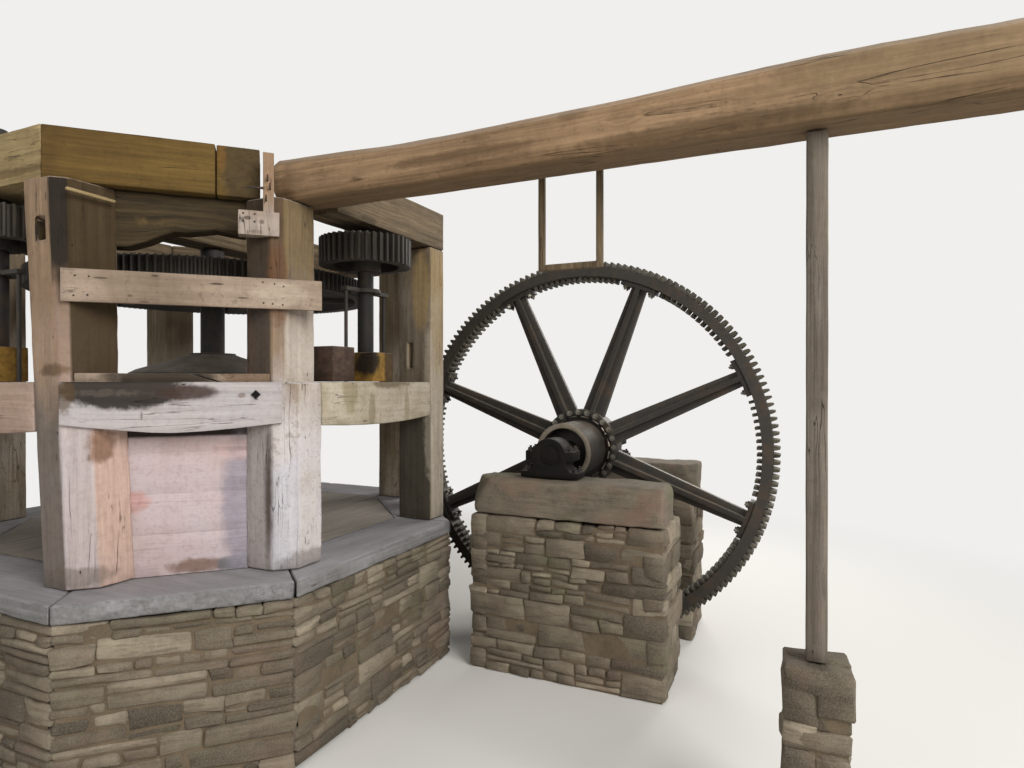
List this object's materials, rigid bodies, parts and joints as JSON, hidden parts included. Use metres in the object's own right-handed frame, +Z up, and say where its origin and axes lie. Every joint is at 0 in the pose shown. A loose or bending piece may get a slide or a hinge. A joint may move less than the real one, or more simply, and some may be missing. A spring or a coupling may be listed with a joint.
{
  "type": "watermill hurst frame with pit wheel",
  "caption": "Drive of an old watermill: an octagonal timber frame round an upright shaft with its spur wheel, the beam it carries, and a tall iron pit wheel on stone plinths.",
  "frame": {"origin": "on the ground under the upright shaft's axis", "axes": "+X along the great beam, +Y from the frame's front towards the pit wheel's side, +Z up"},
  "size_m": [8.29, 5.0153, 4.24],
  "materials": {
    "limewashed_timber": "dusty oak under worn limewash",
    "weathered_timber": "dry grey-brown oak",
    "ochre_timber": "dusty ochre oak",
    "oiled_timber": "yellow oak soaked with grease",
    "cog_timber": "dry dusty hornbeam cogs",
    "great_beam_timber": "rough-hewn oak with shakes",
    "pink_limewash": "boards under pinkish limewash",
    "dark_cast_iron": "old cast iron with rust",
    "granite": "hewn granite",
    "rubble_stone": "coursed rubble in earth mortar"
  },
  "bodies": {
    "frame": {"footing_square_walls": "rubble_stone", "footing_corner_walls": "rubble_stone", "stone_piers": "rubble_stone", "sills_square": "weathered_timber", "sills_corner": "weathered_timber", "inner_deck": "weathered_timber", "front_left_post": "limewashed_timber", "front_right_post": "limewashed_timber", "right_rear_post": "limewashed_timber", "rear_posts": "limewashed_timber", "front_bridge_beam": "limewashed_timber", "right_bridge_beam": "limewashed_timber", "left_bridge_beam": "limewashed_timber", "rear_bridge_beams": "limewashed_timber", "front_head_beam": "ochre_timber", "right_head_beam": "weathered_timber", "left_head_beam": "ochre_timber", "rear_head_beams": "weathered_timber", "crooked_timber": "weathered_timber", "corbel_block": "limewashed_timber", "front_boards": "weathered_timber", "front_panel": "pink_limewash", "great_beam": "great_beam_timber", "beam_prop": "weathered_timber", "hanging_cradle": "weathered_timber", "shaft_head_beam": "weathered_timber", "shaft_footstep": "dark_cast_iron", "spindle_blocks": "oiled_timber", "spindle_jacks": "dark_cast_iron", "wheel_bearings": "dark_cast_iron", "front_bearing_stone": "granite", "front_rubble_plinth": "rubble_stone", "rear_bearing_stone": "granite", "rear_rubble_plinth": "rubble_stone"},
    "pit_wheel": {"pit_wheel_rim": "dark_cast_iron", "pit_wheel_cogs": "cog_timber", "pit_wheel_spider": "dark_cast_iron", "pit_wheel_shaft": "dark_cast_iron"},
    "upright": {"upright_shaft": "dark_cast_iron", "great_spur_wheel": "dark_cast_iron", "crown_wheel": "dark_cast_iron"},
    "right_stone_drive": {"right_spindle": "dark_cast_iron", "right_stone_nut": "dark_cast_iron"},
    "left_stone_drive": {"left_spindle": "dark_cast_iron", "left_stone_nut": "dark_cast_iron"}
  },
  "joints": [
    {"name": "pit_wheel_spin", "type": "hinge", "parent": "frame", "child": "pit_wheel", "pos_m": [3.1, 1.67, 1.864], "axis": [0, 1, 0], "continuous": true},
    {"name": "upright_shaft_spin", "type": "hinge", "parent": "frame", "child": "upright", "pos_m": [0, 0, 3.75], "axis": [0, 0, 1], "continuous": true},
    {"name": "right_spindle_spin", "type": "hinge", "parent": "frame", "child": "right_stone_drive", "pos_m": [1.772, 0, 3.75], "axis": [0, 0, 1], "continuous": true},
    {"name": "left_spindle_spin", "type": "hinge", "parent": "frame", "child": "left_stone_drive", "pos_m": [0, -1.772, 3.75], "axis": [0, 0, 1], "continuous": true}
  ]
}
